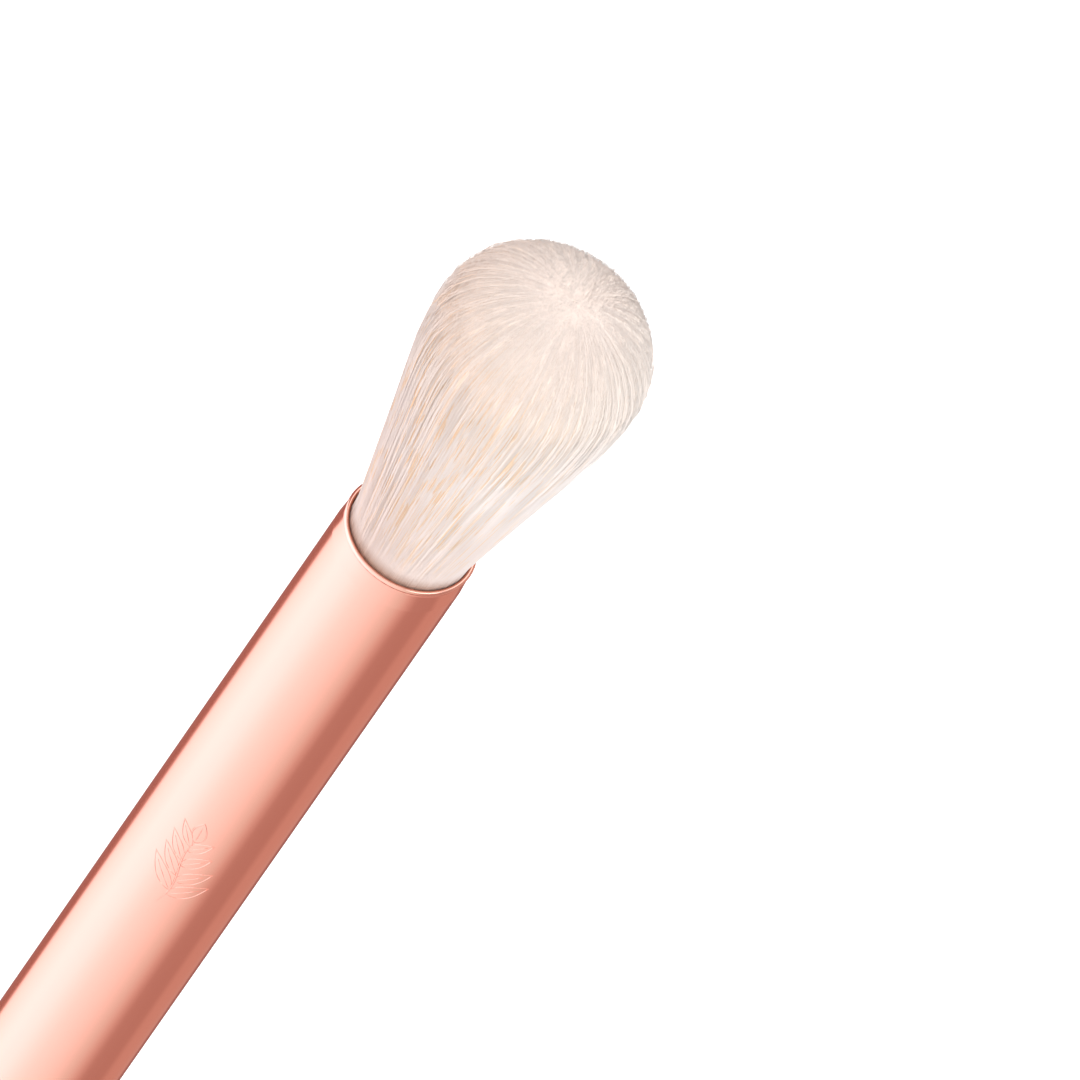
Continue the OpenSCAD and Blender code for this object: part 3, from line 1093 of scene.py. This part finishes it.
def seen_directly(tree):
    """1 for rays from the camera, from gloss and through glass, 0 for light falling on things."""
    path = tree.nodes.new("ShaderNodeLightPath")
    seen = math_node(tree, "MAXIMUM", path.outputs["Is Camera Ray"], path.outputs["Is Glossy Ray"])
    scattered = minus(tree, 1.0, path.outputs["Is Diffuse Ray"])
    glass = times(tree, path.outputs["Is Transmission Ray"], scattered)
    return math_node(tree, "MAXIMUM", seen, glass)


def white_world():
    """White where it is seen, and on things a faintly rosy fill that brightens toward one side."""
    world = bpy.data.worlds.new("Studio")
    bpy.context.scene.world = world
    world.use_nodes = True
    tree = world.node_tree
    direction = tree.nodes.new("ShaderNodeTexCoord").outputs["Generated"]
    side = add_node(tree, "ShaderNodeVectorMath", operation="DOT_PRODUCT")
    tree.links.new(direction, side.inputs[0])
    side.inputs[1].default_value = FILL_TOWARD
    share = math_node(tree, "ADD", 0.5, times(tree, side.outputs["Value"], 0.5), clamp=True)
    low, high = [c - r for c, r in zip(FILL, FILL_RISE)], [c + r for c, r in zip(FILL, FILL_RISE)]
    color = color_mix(tree, seen_directly(tree), color_mix(tree, share, low, high), WHITE)
    tree.links.new(color, tree.nodes["Background"].inputs["Color"])


def floor_material():
    """A pale floor that reads as white and still takes the brush's shadow."""
    material, tree, shader = new_material("Pale floor")
    set_sockets(shader, Base_Color=FLOOR_COLOR, Roughness=1.0, Specular_IOR_Level=0.0,
                Emission_Color=(*WHITE, 1))
    tree.links.new(times(tree, seen_directly(tree), FLOOR_LIFT), shader.inputs["Emission Strength"])
    return material


# Brightness of the reflector card round the brush, by direction in degrees from the camera
CARD_STOPS = (
    (-180, 0.22), (-127, 0.26), (-122, 1.85), (-105, 2.0), (-75, 2.18), (-45, 2.0), (-15, 1.62),
    (15, 1.36), (30, 1.18), (45, 0.94), (58, 0.6), (68, 0.41), (98, 0.4), (109, 0.54),
    (146, 0.54), (153, 0.2), (180, 0.2)
)
# Tint of the card by its brightness: warm where dark, plain, and a little cool where bright
CARD_TINTS = (
    (0.26, (1.85, 1.0, 0.92)), (0.4, (1.4, 1.0, 0.92)),
    (1.0, (0.94, 1.0, 0.97)), (2.1, (0.95, 1.0, 1.15))
)
CARD_PROFILE = ((9, -0.05), (500, -0.05), (580, 40), (600, 700))  # radius and height, millimetres


def reflector_card():
    """A dish that only gloss sees: a softbox side on the left, warm and dark to the right."""
    material = bpy.data.materials.new("Reflector card")
    material.use_nodes = True
    tree = material.node_tree
    tree.nodes.clear()
    out = tree.nodes.new("ShaderNodeOutputMaterial")
    glow = tree.nodes.new("ShaderNodeEmission")
    layer = add_node(tree, "ShaderNodeAttribute", attribute_name="card_glow")
    tree.links.new(layer.outputs["Vector"], glow.inputs["Color"])
    tree.links.new(glow.outputs[0], out.inputs["Surface"])

    steps, rows = 360, len(CARD_PROFILE)
    levels, tints = zip(*CARD_TINTS)
    verts, faces, glows = [], [], []
    for degrees in np.linspace(-180, 180, steps, endpoint=False):
        level = float(np.interp(degrees, *zip(*CARD_STOPS)))
        tint = [float(np.interp(level, levels, channel)) for channel in zip(*tints)]
        heading = math.radians(degrees - 90)
        for radius, height in CARD_PROFILE:
            verts.append((radius * MM * math.cos(heading), radius * MM * math.sin(heading), height * MM))
            glows.extend(level * t for t in tint)
    for i in range(steps):
        j = (i + 1) % steps
        for k in range(rows - 1):
            faces.append((rows * i + k, rows * i + k + 1, rows * j + k + 1, rows * j + k))
    mesh = bpy.data.meshes.new("reflector_card")
    mesh.from_pydata(verts, [], faces)
    write_vectors(mesh, "card_glow", glows)
    card = stage_object("reflector_card", mesh, material)
    card.visible_camera = False
    card.visible_diffuse = False
    card.visible_transmission = False
    card.visible_shadow = False


def softbox(name, azimuth, elevation, size, strength, color=(1, 1, 1)):
    """A square lamp aimed at the head of the brush, azimuth 0 being the camera's side."""
    lamp = bpy.data.lights.new(name, "AREA")
    lamp.shape = "SQUARE"
    lamp.size = size
    lamp.energy = strength
    lamp.color = color
    thing = add_object(name, lamp)
    a, e = math.radians(azimuth), math.radians(elevation)
    back = Vector((math.sin(a) * math.cos(e), -math.cos(a) * math.cos(e), math.sin(e)))
    thing.location = Vector((0, 0, LIP_Z)) + back * LAMP_DISTANCE
    thing.rotation_euler = back.to_track_quat("Z", "Y").to_euler()
    thing.visible_camera = False


def aim_camera(stage):
    """The camera of the picture: a long lens, rolled so that the brush leans to the right."""
    e = stage.elevation
    toward = Vector((0, -math.cos(e), math.sin(e)))
    flat_up = Vector((0, math.sin(e), math.cos(e)))
    flat_right = Vector((1, 0, 0))
    right = flat_right * math.cos(stage.lean) + flat_up * math.sin(stage.lean)
    up = flat_up * math.cos(stage.lean) - flat_right * math.sin(stage.lean)
    camera = bpy.data.cameras.new("Camera")
    camera.lens = stage.lens
    camera.sensor_width = SENSOR_WIDTH
    distance = PICTURE / stage.scale * MM * stage.lens / SENSOR_WIDTH
    off_x = (stage.mouth_pixel[0] - PICTURE / 2) / stage.scale * MM
    off_y = (PICTURE / 2 - stage.mouth_pixel[1]) / stage.scale * MM
    target = Vector((0, 0, LIP_Z)) - right * off_x - up * off_y
    thing = add_object("Camera", camera)
    rotation = Matrix((right, up, toward)).transposed()
    thing.matrix_world = Matrix.Translation(target + toward * distance) @ rotation.to_4x4()
    camera.clip_start = distance * 0.1
    camera.clip_end = distance * 10
    bpy.context.scene.camera = thing


class EYEBRUSH_OT_build_stage(bpy.types.Operator):
    """Set the pale floor, the soft lamps, the world and the camera of the picture"""

    bl_idname = "eyebrush.build_stage"
    bl_label = "Build Stage"

    def execute(self, context):
        white_world()
        mesh = bpy.data.meshes.new("floor")
        signs = ((-1, -1), (1, -1), (1, 1), (-1, 1))
        corners = [(x * FLOOR_HALF, y * FLOOR_HALF, -FLOOR_DROP) for x, y in signs]
        mesh.from_pydata(corners, [], [(0, 1, 2, 3)])
        stage_object("floor", mesh, floor_material())
        reflector_card()
        for name, lamp in LAMPS.items():
            softbox(name, *lamp)
        aim_camera(context.scene.eyebrush_stage)
        context.scene.view_settings.view_transform = "Standard"
        return {"FINISHED"}


# ---------------------------------------------------------------- panel and registration

OPERATORS = (
    EYEBRUSH_OT_finish_metal,
    EYEBRUSH_OT_finish_inside,
    EYEBRUSH_OT_grow_hair,
    EYEBRUSH_OT_pour_resin_face,
    EYEBRUSH_OT_raise_sprig,
    EYEBRUSH_OT_build_stage,
)
SETTINGS = {
    "eyebrush_hair": HairSettings,
    "eyebrush_metal": MetalSettings,
    "eyebrush_sprig": SprigSettings,
    "eyebrush_stage": StageSettings,
}


class EYEBRUSH_PT_panel(bpy.types.Panel):
    """Lists the steps that dress the brush, and the sizes and colours they use"""

    bl_label = "Eyeshadow Brush"
    bl_idname = "EYEBRUSH_PT_panel"
    bl_space_type = "VIEW_3D"
    bl_region_type = "UI"
    bl_category = "Brush"

    def draw(self, context):
        for operator in OPERATORS:
            self.layout.operator(operator.bl_idname)
        for label, settings in SETTINGS.items():
            box = self.layout.box()
            for name in settings.__annotations__:
                box.prop(getattr(context.scene, label), name)


def register():
    for label, settings in SETTINGS.items():
        bpy.utils.register_class(settings)
        setattr(bpy.types.Scene, label, bpy.props.PointerProperty(type=settings))
    for cls in (*OPERATORS, EYEBRUSH_PT_panel):
        bpy.utils.register_class(cls)


def unregister():
    for cls in (EYEBRUSH_PT_panel, *reversed(OPERATORS)):
        bpy.utils.unregister_class(cls)
    for label, settings in SETTINGS.items():
        delattr(bpy.types.Scene, label)
        bpy.utils.unregister_class(settings)


def main():
    register()
    for operator in OPERATORS:
        group, name = operator.bl_idname.split(".")
        getattr(getattr(bpy.ops, group), name)()


if __name__ == "__main__":
    main()
